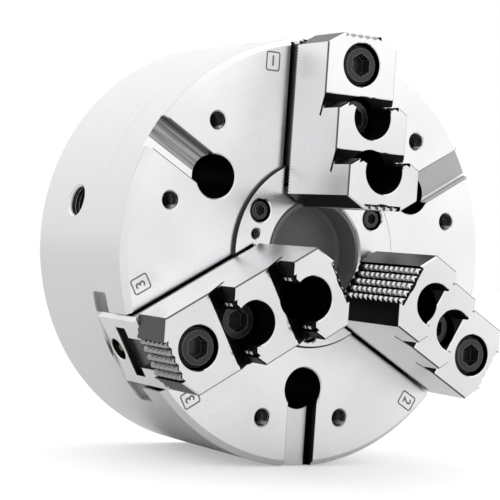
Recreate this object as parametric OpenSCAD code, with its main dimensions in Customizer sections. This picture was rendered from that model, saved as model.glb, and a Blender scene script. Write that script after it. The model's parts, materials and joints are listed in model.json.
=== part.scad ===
// Three-jaw wedge-hook power chuck for a lathe spindle, with stepped hard top jaws.
// Worked in chuck axes first: x and y across the face, z along the spindle, back face at z = 0.
// Every sub-part is then stood up by seat(), so that the spindle axis lies along Y with the
// working face towards -Y, and jaw 1 points up along +Z. The origin is the middle of the back face.

/* [Body] */
// Outside diameter of the chuck body
body_d = 210; // [190:1:252]
// Depth of the body from the back face to the working face
body_depth = 91; // [88:1:110]
// Chamfer round the front edge
front_chamfer = 3; // [1:0.5:4]
// Chamfer round the rear edge
rear_chamfer = 1.5; // [0.5:0.5:3]
// Edge break along slots and hole rims
edge_break = 0.6; // [0.2:0.1:1]

/* [Spindle seat] */
// Diameter of the locating recess in the back face
spigot_d = 170; // [150:1:176]
// Depth of the locating recess
spigot_depth = 5; // [3:0.5:8]
// Wall between the plunger bore and the mounting bolts
mount_wall = 8.7; // [5:0.1:12]
// Thread diameter of the mounting bolts that the holes are made for
mount_bolt_d = 12; // [8:1:14]
// Gap round the shank of a mounting bolt
mount_hole_gap = 0.5; // [0.3:0.1:1]
// Gap round the head of a mounting bolt in its counterbore
mount_cbore_gap = 1.5; // [0.5:0.1:2]
// Height of the bolt head seat above the back face
mount_seat_z = 40; // [25:1:48]

/* [Working face] */
// Width of the shallow grooves that run out from the mounting bolts
groove_w = 16; // [8:1:20]
// Depth of the shallow grooves
groove_depth = 5; // [2:0.5:7]
// Bolt circle of the tapped face holes
tap_pcd = 167.8; // [160:0.1:174]
// Angle of each tapped hole either side of its groove
tap_angle = 15.7; // [13:0.1:17]
// Tapping diameter of the face holes
tap_d = 8.5; // [5:0.1:10]
// Depth of the face holes
tap_depth = 20; // [12:1:25]
// Diameter of the lifting hole in the rim
lift_d = 14; // [10:0.5:16]
// Depth of the lifting hole
lift_depth = 24; // [14:1:28]
// Height of the lifting hole above the back face
lift_z = 36.4; // [20:0.1:44]
// Clock angle of the lifting hole, from +X round to jaw 1
lift_angle = 170; // [160:1:176]

/* [Jaw guides] */
// Width of a base jaw where it stands in the face slot
neck_w = 38.4; // [34:0.2:42]
// Side gap between that neck and its slot
neck_gap = 1.2; // [0.3:0.1:1.4]
// Width of the base jaw guide flanges
guide_w = 59.2; // [50:0.2:64]
// Thickness of the guide flanges
guide_t = 13.4; // [9:0.1:14]
// Depth of the guide floor below the working face
guide_depth = 33; // [31:0.5:36]
// Running clearance on every guide face
guide_fit = 0.05; // [0.02:0.01:0.1]

/* [Base jaws] */
// Distance of the outer end of a base jaw in from the rim
base_setback = 1.5; // [1:0.1:4]
// Distance of the outer end of its guide flanges in from the rim
flange_setback = 7; // [3:0.5:12]
// Gap between a closed base jaw and the bush
base_gap = 0.3; // [0.3:0.1:3]
// Height of the serrated joint above the working face
joint_h = 5; // [4:0.1:8]
// Pitch of the joint serrations
serr_pitch = 1.5; // [1.5:0.1:3]
// Height of the joint serrations
serr_h = 1.1; // [0.6:0.1:1.3]
// Width of each ledge of the T-slot
tslot_ledge = 5; // [4:0.1:6]
// Thickness of a base jaw from the guide floor up to its T-slot
tslot_web = 14.5; // [13.5:0.1:17]
// Height of the T-slot head
tslot_head_h = 9.2; // [7:0.1:10]
// Room behind the T-nut at the inner end of its slot
tslot_room = 1.3; // [0.5:0.1:3]
// Diameter of the pocket round a grease nipple
nipple_pocket_d = 11; // [9:0.5:11]
// Wall under that pocket, down to the guide floor
nipple_wall = 0.9; // [0.6:0.1:3]

/* [Top jaws] */
// Width of a top jaw
jaw_w = 40; // [30:0.5:46]
// Overhang of a top jaw past the rim
jaw_overhang = 0.5; // [-3:0.1:3]
// Reach of a jaw tip in from the inner screw hole
tip_reach = 17.7; // [14.2:0.1:19.2]
// Height of the lowest step above the working face
step_base = 31; // [30:0.5:36]
// Rise of each further step
step_rise = 12; // [8:0.5:14]
// Distance of the outer step wall out from the middle screw hole
outer_wall_lead = 6.2; // [4.4:0.1:8.4]
// Distance of the inner step wall out from the inner screw hole
inner_wall_lead = 5.2; // [3.3:0.1:7.8]
// Chamfer of the step walls across the jaw
wall_chamfer = 5.5; // [3:0.1:7]
// Half width of the flat at the ends of a top jaw
tip_half = 10.3; // [8:0.1:11]
// Angle of the end and wall chamfers
jaw_angle_cut = 30; // [20:1:32]
// Width of the relief cut under each step wall
relief_w = 1.5; // [1:0.1:1.8]
// Slope of the relief cuts
relief_slope = 19; // [15:1:22]
// Reach of the relief cuts under a step wall
relief_reach = 6.3; // [4:0.1:7]
// Number of grip ridges across a jaw end
ridges = 5; // [4:1:6]
// Depth of the cross-cut teeth that stand on the ridges
tooth_h = 1.1; // [0.4:0.1:1.4]
// Depth of the grooves between the ridges
ridge_h = 1; // [0.8:0.1:1.6]

/* [Jaw screws] */
// Distance of the outer jaw screw in from the rim
screw_setback = 14; // [13.5:0.1:15.5]
// Spacing of the three screw holes in a top jaw
screw_pitch = 25.4; // [25:0.1:26]
// Thread diameter of a jaw screw
screw_d = 12; // [8:1:12]
// Distance of the end of a jaw screw above the foot of its T-nut
screw_short = 5.2; // [0.2:0.1:6]
// Gap round the head of a jaw screw in its counterbore
cbore_gap = 1.25; // [0.5:0.05:1.5]
// Height of the inner screw seats above the working face
seat_h = 15; // [13.5:0.5:16]
// How much higher the outer screw's seat is
outer_seat_lift = 3; // [0:0.5:4]
// Length of a T-nut
tnut_len = 44; // [42:0.5:46]
// Wall of a T-nut neck beside its screws
tnut_wall = 1.7; // [0.8:0.1:2.5]
// Gap between a T-nut and its slot
tnut_gap = 0.3; // [0.15:0.05:0.5]

/* [Wedge drive] */
// Wall of the plunger round the draw nut, which the hooks run in
plunger_wall = 16; // [15.5:0.1:18]
// Running clearance of the plunger
plunger_fit = 0.04; // [0.02:0.01:0.08]
// Distance of the plunger back from the back face, chuck open
plunger_back = 17; // [16.5:0.5:20]
// Distance of the plunger front below the working face, chuck open
plunger_setback = 22; // [22:0.5:27]
// Plunger stroke from open to closed
stroke = 16; // [10:0.5:16]
// Travel of each jaw over that stroke
jaw_travel = 3.7; // [2.5:0.1:3.8]
// Width of the wedge hook head
hook_head_w = 27; // [22:0.5:28]
// Width of the wedge hook neck
hook_neck_w = 15; // [11:0.5:17]
// Thickness of the hook head, and of the neck behind it
hook_t = 5; // [4:0.1:5.4]
// Distance of the hook head in from the plunger bore at mid height
hook_inset = 14.15; // [13.4:0.05:14.5]
// Clearance of the hook in the plunger
hook_fit = 0.06; // [0.03:0.01:0.1]
// Width of the hook leg
leg_w = 34; // [30:0.5:36]
// Run of the wedge slots behind the hooks
slot_run_out = 5; // [4.5:0.5:6]
// Reach of the leg out past the plunger bore
leg_reach = 7.5; // [5:0.5:9]

/* [Draw nut] */
// Wall of the draw nut
nut_wall = 7; // [5:0.1:7.5]
// Step from the bush bore up to the draw nut thread
thread_step = 2.8; // [0.8:0.1:3.8]
// Length of the draw nut
nut_len = 18; // [14:0.5:19]
// Running clearance of the draw nut
nut_fit = 0.06; // [0.03:0.01:0.1]
// Width of the nut retainer ring outside the nut
retainer_rim = 10; // [7:0.5:11]
// Thickness of the nut retainer ring
retainer_t = 4; // [3:0.5:5]

/* [Centre bush] */
// Through bore of the centre bush
through_d = 52.4; // [44:0.2:53]
// Wall of the bush sleeve
sleeve_wall = 3.3; // [2.6:0.1:3.4]
// Width of the bush flange outside the sleeve
flange_rim = 17; // [14.5:0.1:18.5]
// Thickness of the bush flange
flange_t = 13.3; // [11:0.1:14]
// Height of the flange above the working face
flange_proud = 2.3; // [1:0.1:3.5]
// Distance of the flange screws out from the sleeve
flange_screw_lead = 8.5; // [7.5:0.1:10]
// Distance of the jacking holes out from the sleeve
jack_lead = 6; // [4:0.1:9]
// Thread diameter of the flange screws
flange_screw_d = 6; // [4:1:6]
// Depth of the dust cap floor below its rim
cap_depth = 16; // [8:0.5:22]
// Wall thickness of the dust cap
cap_wall = 1.8; // [1:0.1:2.5]

/* [Hidden] */
$fn = 96;
eps = 0.01;
far = 2 * body_d;

// Places round the chuck
jaw_clock = [90, 330, 210];
bolt_clock = [30, 150, 270];
body_r = body_d / 2;
face_z = body_depth;

// Diameters that grow outwards from the through bore
sleeve_d = through_d + 2 * sleeve_wall;
nut_thread_d = through_d + 2 * thread_step;
nut_d = nut_thread_d + 2 * nut_wall;
retainer_d = nut_d + 2 * retainer_rim;
bore_d = nut_d + 2 * plunger_wall;
mount_pcd = bore_d + 2 * mount_wall + mount_bolt_d;
flange_d = sleeve_d + 2 * flange_rim;
flange_screw_r = sleeve_d / 2 + flange_screw_lead;
jack_r = sleeve_d / 2 + jack_lead;

// Screw heads follow the usual socket-head proportions
head_ratio = 1.5;
socket_ratio = 0.83;
thread_fit = 0.02;
socket_depth_ratio = 0.5;
mount_cbore_d = mount_bolt_d * head_ratio + 2 * mount_cbore_gap;
cbore_d = screw_d * head_ratio + 2 * cbore_gap;

// Jaws, measured in from the rim and out from the bush
sleeve_gap = 0.5;
base_out = body_r - base_setback;
flange_out = body_r - flange_setback;
base_in = sleeve_d / 2 + sleeve_gap + jaw_travel + base_gap;
screw_out = body_r - screw_setback;
screw_x = [screw_out, screw_out - screw_pitch, screw_out - 2 * screw_pitch];
jaw_out = body_r + jaw_overhang;
jaw_in = screw_x[2] - tip_reach;
level_out = [jaw_out, screw_x[1] + outer_wall_lead, screw_x[2] + inner_wall_lead];
tslot_z = face_z - guide_depth + tslot_web;
tslot_top = tslot_z + tslot_head_h;
tslot_neck_w = screw_d + 2 * tnut_wall + 2 * tnut_gap;
tslot_head_w = tslot_neck_w + 2 * tslot_ledge;
tnut_x0 = (screw_x[0] + screw_x[1] - tnut_len) / 2;
tslot_in = tnut_x0 - tslot_room;

// Jaw slot
plunger_front = face_z - plunger_setback;
leg_out = bore_d / 2 + leg_reach;
slot_w = neck_w + 2 * neck_gap;
guide_z = face_z - guide_depth;
guide_top = guide_z + guide_t;
pocket_gap = 0.5;
pocket_out = leg_out + 2 * pocket_gap;
web_z = plunger_front + 1;

// Wedge: the hook leans towards the axis as it comes forward
hook_r = bore_d / 2 - hook_inset;
wedge_angle = atan2(jaw_travel, stroke);
hook_mid_z = guide_z - 13;
hook_half = 12;
hook_lo = hook_mid_z - hook_half;
hook_run = 2 * hook_half / cos(wedge_angle);
bar_z = plunger_front + 5.5;
flat_gap = 0.3;
neck_corner = 2.4;

// Serrated joint
joint_z = face_z + joint_h;
serr_x0 = jaw_in - 3 * serr_pitch;

// Top jaw levels
step_z = [face_z + step_base, face_z + step_base + step_rise, face_z + step_base + 2 * step_rise];
jaw_edge = 0.7;
seat_z = face_z + seat_h;
screw_seat_z = [seat_z + outer_seat_lift, seat_z, seat_z];
tnut_z = tslot_z + tnut_gap;
hole_clear = 0.6;

// Draw nut and retainer
retainer_z = plunger_back;
nut_z = retainer_z + retainer_t;
nut_play = 0.1;
nut_front_d = through_d + 1;
nut_lip = 4;
nut_notch_w = 8;
retainer_screw_r = (nut_d + retainer_d) / 4;
retainer_screw_d = 4;
retainer_screw_len = 10;
retainer_bore_d = nut_thread_d + 6;

// Bush, seals and cap
flange_z = face_z + flange_proud - flange_t;
sleeve_back = nut_z + nut_len + 3.5;
seal_r = 1.2;
seal_z = sleeve_back + 4;
seal_gap = 0.06;
plunger_seal_z = plunger_back + 5;
web_bore_r = sleeve_d / 2 + 3 * sleeve_gap;
jack_turn = 17.5;
jack_d = 5;
cap_floor = 2;
cap_fit = 0.05;
nipple_z = guide_z + nipple_wall + nipple_pocket_d / 2;
nipple_pocket_depth = 9;

// Turn chuck axes into the finished frame.
module seat() { rotate([90, 0, 0]) children(); }

// Put a shape drawn along +X at jaw number n, seated.
module at_jaw(n) { seat() rotate([0, 0, jaw_clock[n - 1]]) children(); }

// Repeat a shape drawn along +X at each of the three clock angles.
module round_three(clock) { for (a = clock) rotate([0, 0, a]) children(); }

// A bar along X from x0 to x1, w wide about Y = 0, from z0 to z1.
module bar(x0, x1, w, z0, z1) {
    translate([x0, -w / 2, z0]) cube([x1 - x0, w, z1 - z0]);
}

// A 45 degree chamfer cutter along X on the two top edges of a slot w wide.
module slot_edges(x0, x1, w, z) {
    side = edge_break * sqrt(2);
    for (s = [-1, 1])
        translate([x0, s * w / 2, z]) rotate([45, 0, 0]) translate([0, -side / 2, -side / 2])
            cube([x1 - x0, side, side]);
}

// A hole from z0 up to z1 with its rim chamfered at z1.
module rimmed_hole(d, z0, z1) {
    translate([0, 0, z0]) cylinder(h = z1 - z0 + 1, d = d);
    translate([0, 0, z1 - edge_break]) cylinder(h = edge_break + eps, d1 = d, d2 = d + 2 * edge_break);
}

// Socket head cap screw with its seat at z = 0 and its shank down -Z.
module cap_screw(d, len) {
    head_d = d * head_ratio;
    difference() {
        union() {
            translate([0, 0, -len]) cylinder(h = d / 8, d1 = d * 0.8, d2 = d);
            translate([0, 0, d / 8 - len]) cylinder(h = len - d / 8, d = d);
            cylinder(h = d * 0.92, d = head_d);
            translate([0, 0, d * 0.92]) cylinder(h = d * 0.08, d1 = head_d, d2 = head_d - d * 0.16);
        }
        translate([0, 0, d * (1 - socket_depth_ratio)])
            cylinder(h = d, d = d * socket_ratio / cos(30), $fn = 6);
    }
}

// One jaw slot: neck, guide flanges and the pocket for the hook leg.
module jaw_slot() {
    bar(0, far, slot_w, web_z - eps, face_z + 1);
    bar(bore_d / 2 - 6, far, guide_w + 2 * guide_fit, guide_z - guide_fit, guide_top + guide_fit);
    bar(bore_d / 2 - 6, pocket_out, leg_w + 2 * pocket_gap, hook_lo - pocket_gap, face_z - 1);
    slot_edges(sleeve_d / 2, far, slot_w, face_z);
}

// Bore, counterbore and face groove of one mounting bolt, with the tapped pair beside them.
module bolt_station() {
    translate([mount_pcd / 2, 0, 0]) {
        translate([0, 0, -1]) cylinder(h = face_z + 2, d = mount_bolt_d + 2 * mount_hole_gap);
        rimmed_hole(mount_cbore_d, mount_seat_z, face_z);
    }
    bar(mount_pcd / 2, far, groove_w, face_z - groove_depth, face_z + 1);
    slot_edges(mount_pcd / 2, far, groove_w, face_z);
    for (s = [-1, 1])
        rotate([0, 0, s * tap_angle]) translate([tap_pcd / 2, 0, 0])
            rimmed_hole(tap_d, face_z - tap_depth, face_z);
    translate([flange_screw_r, 0, web_z - 1])
        cylinder(h = flange_z - web_z + 2, d = flange_screw_d + 2 * thread_fit);
}

// Turned outline of the body, less its bores.
module body_profile() {
    rotate_extrude() polygon([
        [bore_d / 2, spigot_depth], [spigot_d / 2, spigot_depth], [spigot_d / 2, 0],
        [body_r - rear_chamfer, 0], [body_r, rear_chamfer], [body_r, face_z - front_chamfer],
        [body_r - front_chamfer, face_z], [flange_d / 2 + guide_fit, face_z],
        [flange_d / 2 + guide_fit, flange_z], [web_bore_r, flange_z], [web_bore_r, web_z],
        [bore_d / 2, web_z]]);
}

module chuck_body() {
    color("gainsboro") seat() difference() {
        body_profile();
        round_three(jaw_clock) jaw_slot();
        round_three(bolt_clock) bolt_station();
        rotate([0, 0, lift_angle]) translate([body_r, 0, lift_z]) rotate([0, -90, 0]) {
            translate([0, 0, -1]) cylinder(h = lift_depth + 1, d = lift_d);
            translate([0, 0, -1]) cylinder(h = 1 + 1.5, d1 = lift_d + 5, d2 = lift_d);
        }
        translate([0, 0, plunger_seal_z]) rotate_extrude()
            translate([bore_d / 2 + seal_r, 0]) circle(r = seal_r + seal_gap);
    }
}

// Height of the joint's saw-tooth line at x, above or below its middle.
function tooth_z(x) = let (u = (x - serr_x0) / serr_pitch)
    serr_h * (0.5 - abs(2 * (u - floor(u)) - 1));

// Saw-tooth outline from x0 to x1 whose teeth stand about height z, closed down to z_far.
module serration(x0, x1, z, z_far) {
    half_pitch = serr_pitch / 2;
    first = floor((x0 - serr_x0) / half_pitch) + 1;
    last = ceil((x1 - serr_x0) / half_pitch) - 1;
    corners = [for (i = [first : last]) serr_x0 + i * half_pitch];
    line = [for (x = concat([x0], corners, [x1])) [x, z + tooth_z(x)]];
    polygon(concat([[x0, z_far]], line, [[x1, z_far]]));
}

// Extrude an outline drawn in X and Z across the width w.
module across(w) {
    translate([0, w / 2, 0]) rotate([90, 0, 0]) linear_extrude(w) children();
}

// Tilt a shape drawn upright at the hook's middle so that it follows the wedge.
module on_wedge() {
    translate([hook_r, 0, hook_mid_z]) rotate([0, -wedge_angle, 0]) children();
}

// T outline of the hook along the wedge, grown by fit, from below to above the middle.
module hook_bars(fit, below, above) {
    on_wedge() {
        bar(-fit, hook_t + fit, hook_head_w + 2 * fit, -below, above);
        bar(hook_t - 1, 2 * hook_t + 1, hook_neck_w + 2 * fit, -below, above);
    }
}

module master_jaw(n) {
    color("silver") at_jaw(n) difference() {
        union() {
            across(neck_w) serration(base_in, base_out, joint_z, bar_z);
            bar(pocket_out - 4, base_out, neck_w, guide_top - 1, bar_z + 1);
            bar(bore_d / 2 + jaw_travel, flange_out, guide_w, guide_z, guide_top);
            bar(flange_out - 1, base_out, neck_w, guide_z, guide_top);
            intersection() {
                union() {
                    on_wedge() bar(2 * hook_t, leg_out, leg_w, -hook_half * 2, bar_z);
                    hook_bars(0, hook_run / 2 + 4, hook_run / 2 + 4);
                }
                union() {
                    bar(0, leg_out, leg_w, hook_lo, hook_lo + 2 * hook_half);
                    bar(hook_r + hook_t, leg_out, leg_w, hook_lo, bar_z + 1);
                }
            }
        }
        for (s = [-1, 1]) translate([base_out, s * neck_w / 2, 0]) rotate([0, 0, 45])
            translate([-neck_corner / 2, -neck_corner / 2, 0]) cube([neck_corner, neck_corner, far]);
        bar(tslot_in, far, tslot_neck_w, tslot_top - 1, joint_z + serr_h);
        bar(tslot_in, far, tslot_head_w, tslot_z, tslot_top);
        translate([base_out, 0, nipple_z]) rotate([0, -90, 0]) {
            translate([0, 0, -1]) cylinder(h = nipple_pocket_depth + 1, d = nipple_pocket_d);
            cylinder(h = nipple_pocket_depth + 12, d = 6);
            translate([0, 0, -eps])
                cylinder(h = edge_break, d1 = nipple_pocket_d + 2 * edge_break, d2 = nipple_pocket_d);
        }
    }
}

// Plan of one top jaw level: both ends chamfered, inset by i.
module jaw_plan(x1, end_chamfer, i) {
    half = jaw_w / 2 - i;
    in_run = (jaw_w / 2 - tip_half) * tan(jaw_angle_cut);
    out_run = end_chamfer * tan(jaw_angle_cut);
    polygon([
        [jaw_in + i, -tip_half], [jaw_in + in_run + i / 2, -half], [x1 - out_run - i / 2, -half],
        [x1 - i, end_chamfer - jaw_w / 2], [x1 - i, jaw_w / 2 - end_chamfer],
        [x1 - out_run - i / 2, half], [jaw_in + in_run + i / 2, half], [jaw_in + i, tip_half]]);
}

// One level of a top jaw from z0 to z1 with its top edges broken.
module jaw_level(x1, end_chamfer, z0, z1) {
    hull() {
        translate([0, 0, z0]) linear_extrude(z1 - z0 - jaw_edge) jaw_plan(x1, end_chamfer, 0);
        translate([0, 0, z0]) linear_extrude(z1 - z0) jaw_plan(x1, end_chamfer, jaw_edge);
    }
}

// Recess and V grooves that leave grip ridges on a face at x, looking along s.
module ridge_cuts(x, s, half, z0, z1) {
    pitch = 2 * tip_half / ridges;
    count = floor(2 * half / pitch + 0.01);
    w = count * pitch;
    translate([x, 0, z0]) scale([s, 1, 1]) linear_extrude(z1 - z0)
        polygon(concat([[1, w / 2]],
            [for (i = [0 : count], k = [0, 1]) if (i + k / 2 <= count)
                [-tooth_h - (1 - k) * ridge_h, w / 2 - (i + k / 2) * pitch]],
            [[1, -w / 2]]));
}

// Relief cut under a step wall whose foot is at x, z.
module relief(x, z) {
    across(jaw_w + 2) translate([x, z]) rotate(relief_slope) {
        reach = relief_reach / cos(relief_slope);
        translate([-reach, -relief_w]) square([reach + 3 * relief_w / sin(relief_slope), relief_w]);
        translate([-reach, -relief_w / 2]) circle(d = relief_w, $fn = 24);
    }
}

module top_jaw(n) {
    end_cut = jaw_w / 2 - tip_half;
    color("whitesmoke") at_jaw(n) difference() {
        union() {
            jaw_level(level_out[0], end_cut, joint_z - serr_h, step_z[0]);
            jaw_level(level_out[1], wall_chamfer, step_z[0] - 3, step_z[1]);
            jaw_level(level_out[2], wall_chamfer, step_z[1] - 3, step_z[2]);
        }
        across(jaw_w + 2) serration(jaw_in - 1, jaw_out + 1, joint_z, joint_z - 3 * serr_h);
        for (k = [0 : 2]) translate([screw_x[k], 0, 0]) {
            translate([0, 0, joint_z - 2 * serr_h])
                cylinder(h = step_z[2], d = screw_d + 2 * hole_clear);
            translate([0, 0, screw_seat_z[k]]) cylinder(h = step_z[2], d = cbore_d);
        }
        for (k = [0 : 2]) translate([screw_x[k], 0, step_z[k] - edge_break])
            cylinder(h = edge_break + eps, d1 = cbore_d, d2 = cbore_d + 2 * edge_break);
        relief(level_out[1], step_z[0]);
        relief(level_out[2], step_z[1]);
        ridge_cuts(jaw_in, -1, tip_half, joint_z - serr_h, step_z[2] + 1);
        ridge_cuts(jaw_out, 1, tip_half, joint_z - serr_h, step_z[0] + 1);
        wall_half = jaw_w / 2 - wall_chamfer;
        ridge_cuts(level_out[1], 1, wall_half, step_z[0] - relief_w / 2, step_z[1] + 1);
        ridge_cuts(level_out[2], 1, wall_half, step_z[1] - relief_w / 2, step_z[2] + 1);
    }
}

module t_nut(n) {
    color("dimgray") at_jaw(n) difference() {
        union() {
            bar(tnut_x0, tnut_x0 + tnut_len, tslot_head_w - 2 * tnut_gap, tnut_z, tslot_top);
            bar(tnut_x0, tnut_x0 + tnut_len, tslot_neck_w - 2 * tnut_gap, tnut_z + 1, joint_z - 1.5);
        }
        for (k = [0, 1]) translate([screw_x[k], 0, tnut_z - 1])
            cylinder(h = guide_depth, d = screw_d + 2 * thread_fit);
    }
}

module jaw_screws(n) {
    color("dimgray") at_jaw(n)
        for (k = [0, 1]) translate([screw_x[k], 0, screw_seat_z[k]])
            cap_screw(screw_d, screw_seat_z[k] - tnut_z - screw_short);
}

// Hexagon-bodied grease nipple, screwed into the end of a base jaw.
module grease_nipple(n) {
    color("goldenrod") at_jaw(n)
        translate([base_out - nipple_pocket_depth, 0, nipple_z]) rotate([0, 90, 0]) {
            translate([0, 0, -8]) cylinder(h = 8, d = 6 - 2 * thread_fit);
            cylinder(h = 3, d = 7 / cos(30), $fn = 6);
            translate([0, 0, 3]) cylinder(h = 1.5, d1 = 5, d2 = 3.6);
            translate([0, 0, 4.5]) cylinder(h = 1, d = 3.6);
            translate([0, 0, 5.5]) cylinder(h = 2, d1 = 5.4, d2 = 3);
        }
}

// Turned outline of the plunger with its nut chamber and retainer recess.
module plunger_profile() {
    r = bore_d / 2 - plunger_fit;
    chamber_r = nut_d / 2 + nut_fit;
    chamber_z = nut_z + nut_len + nut_play;
    inner_r = sleeve_d / 2 + sleeve_gap;
    rotate_extrude() polygon([
        [retainer_d / 2 + thread_fit, plunger_back], [r - 1, plunger_back], [r, plunger_back + 1],
        [r, plunger_front - 1], [r - 1, plunger_front], [inner_r, plunger_front],
        [inner_r, chamber_z], [chamber_r, chamber_z], [chamber_r, nut_z],
        [retainer_d / 2 + thread_fit, nut_z]]);
}

module wedge_plunger() {
    below = hook_half / cos(wedge_angle) + slot_run_out;
    above = plunger_front - hook_mid_z + 8;
    color("darkgray") seat() difference() {
        plunger_profile();
        round_three(jaw_clock) {
            hook_bars(hook_fit, below, above);
            on_wedge() bar(2 * hook_t - flat_gap, far, leg_w + 2 * pocket_gap, -below, above);
        }
        round_three(bolt_clock) translate([retainer_screw_r, 0, nut_z - 1])
            cylinder(h = retainer_screw_len, d = retainer_screw_d + 2 * thread_fit);
    }
}

// Internally threaded nut that the draw tube screws into, with notches for a spanner.
module draw_nut() {
    front = nut_z + nut_len;
    color("slategray") seat() difference() {
        translate([0, 0, nut_z + nut_play]) cylinder(h = nut_len - nut_play, d = nut_d);
        translate([0, 0, nut_z - 1]) cylinder(h = nut_len, d = nut_front_d);
        translate([0, 0, nut_z]) cylinder(h = nut_len - nut_lip, d = nut_thread_d);
        translate([0, 0, nut_z]) cylinder(h = 2 * nut_len, d = nut_front_d);
        for (a = [0, 90])
            rotate([0, 0, a]) bar(-nut_thread_d / 2 - 2, nut_thread_d / 2 + 2, nut_notch_w, front - 3, front + 1);
    }
}

module nut_retainer() {
    color("gray") seat() difference() {
        translate([0, 0, retainer_z]) cylinder(h = retainer_t, d = retainer_d);
        translate([0, 0, retainer_z - 1]) cylinder(h = retainer_t + 2, d = retainer_bore_d);
        round_three(bolt_clock) translate([retainer_screw_r, 0, 0]) {
            cylinder(h = 2 * nut_z, d = retainer_screw_d + 2 * thread_fit);
            translate([0, 0, retainer_z - eps])
                cylinder(h = 2, d1 = 2 * retainer_screw_d, d2 = retainer_screw_d);
        }
    }
}

// Countersunk screws that hold the retainer, heads towards the back.
module retainer_screws() {
    color("dimgray") seat() round_three(bolt_clock)
        translate([retainer_screw_r, 0, retainer_z]) difference() {
            union() {
                cylinder(h = 2, d1 = 2 * retainer_screw_d - 0.1, d2 = retainer_screw_d - 0.1);
                translate([0, 0, 1]) cylinder(h = retainer_screw_len, d = retainer_screw_d);
            }
            translate([0, 0, -1]) cylinder(h = 2.5, d = 2.6, $fn = 6);
        }
}

module centre_bush() {
    top = flange_z + flange_t;
    seal_mid = sleeve_d / 2 + sleeve_gap - seal_gap - seal_r;
    color("gainsboro") seat() difference() {
        rotate_extrude() polygon([
            [through_d / 2, sleeve_back], [sleeve_d / 2 - 1, sleeve_back], [sleeve_d / 2, sleeve_back + 1],
            [sleeve_d / 2, flange_z], [flange_d / 2, flange_z], [flange_d / 2, top - 1],
            [flange_d / 2 - 1, top], [through_d / 2 + 1, top], [through_d / 2, top - 1]]);
        round_three(jaw_clock) {
            bar(sleeve_d / 2 + sleeve_gap, far, slot_w, flange_z - 1, top + 1);
            slot_edges(sleeve_d / 2 + sleeve_gap, far, slot_w, top);
        }
        round_three(bolt_clock) {
            translate([flange_screw_r, 0, 0]) {
                translate([0, 0, flange_z - 1]) cylinder(h = flange_t + 2, d = flange_screw_d + hole_clear);
                translate([0, 0, -flange_screw_d - 1])
                    rimmed_hole(flange_screw_d * head_ratio + 2.4, top, top + flange_screw_d + 1);
            }
            rotate([0, 0, jack_turn]) translate([jack_r, 0, 0]) rimmed_hole(jack_d, flange_z - 1, top);
        }
        translate([0, 0, seal_z]) rotate_extrude()
            translate([seal_mid, 0]) circle(r = seal_r + seal_gap / 2);
    }
}

module bush_screws() {
    color("dimgray") seat() round_three(bolt_clock)
        translate([flange_screw_r, 0, flange_z + flange_t - flange_screw_d - 1])
            cap_screw(flange_screw_d, flange_t - flange_screw_d + 8);
}

// Push-in cup that keeps swarf out of the spindle bore.
module dust_cap() {
    top = flange_z + flange_t - 0.4;
    r = through_d / 2 - cap_fit;
    color("dimgray") seat() rotate_extrude() polygon([
        [0, top - cap_depth - cap_floor], [r - 1, top - cap_depth - cap_floor],
        [r, top - cap_depth - cap_floor + 1], [r, top - 1], [r - 0.4, top], [r - cap_wall, top],
        [r - cap_wall, top - cap_depth + 1.5], [r - cap_wall - 1.5, top - cap_depth],
        [0, top - cap_depth]]);
}

// Rubber ring in the bush sleeve, against the plunger bore.
module sleeve_seal() {
    color("black") seat() translate([0, 0, seal_z]) rotate_extrude()
        translate([sleeve_d / 2 + sleeve_gap - seal_gap - seal_r, 0]) circle(r = seal_r, $fn = 24);
}

// Rubber ring in the body bore, against the outside of the plunger.
module plunger_seal() {
    color("black") seat() translate([0, 0, plunger_seal_z]) rotate_extrude()
        translate([bore_d / 2 + seal_r, 0]) circle(r = seal_r, $fn = 24);
}

chuck_body();
master_jaw(1);  // master_jaw_1
master_jaw(2);  // master_jaw_2
master_jaw(3);  // master_jaw_3
top_jaw(1);  // top_jaw_1
top_jaw(2);  // top_jaw_2
top_jaw(3);  // top_jaw_3
t_nut(1);  // t_nut_1
t_nut(2);  // t_nut_2
t_nut(3);  // t_nut_3
jaw_screws(1);  // jaw_screws_1
jaw_screws(2);  // jaw_screws_2
jaw_screws(3);  // jaw_screws_3
grease_nipple(1);  // grease_nipple_1
grease_nipple(2);  // grease_nipple_2
grease_nipple(3);  // grease_nipple_3
wedge_plunger();
draw_nut();
nut_retainer();
retainer_screws();
centre_bush();
bush_screws();
dust_cap();
sleeve_seal();
plunger_seal();
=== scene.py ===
# %% [markdown]
# # A three-jaw power chuck
#
# A power chuck grips work on a lathe. Three base jaws slide in a round steel body, a wedge
# plunger behind the face pulls them in, and stepped hard jaws are bolted on top of them.
# The solids come from the design and stay as they are. This lesson gives them their ground
# and turned finishes, and adds what is too fine for the design: teeth, threads, knurls, marks.

# %% Load the frame
import json
import math

import bmesh
import bpy
from mathutils import Matrix, Vector


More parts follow.
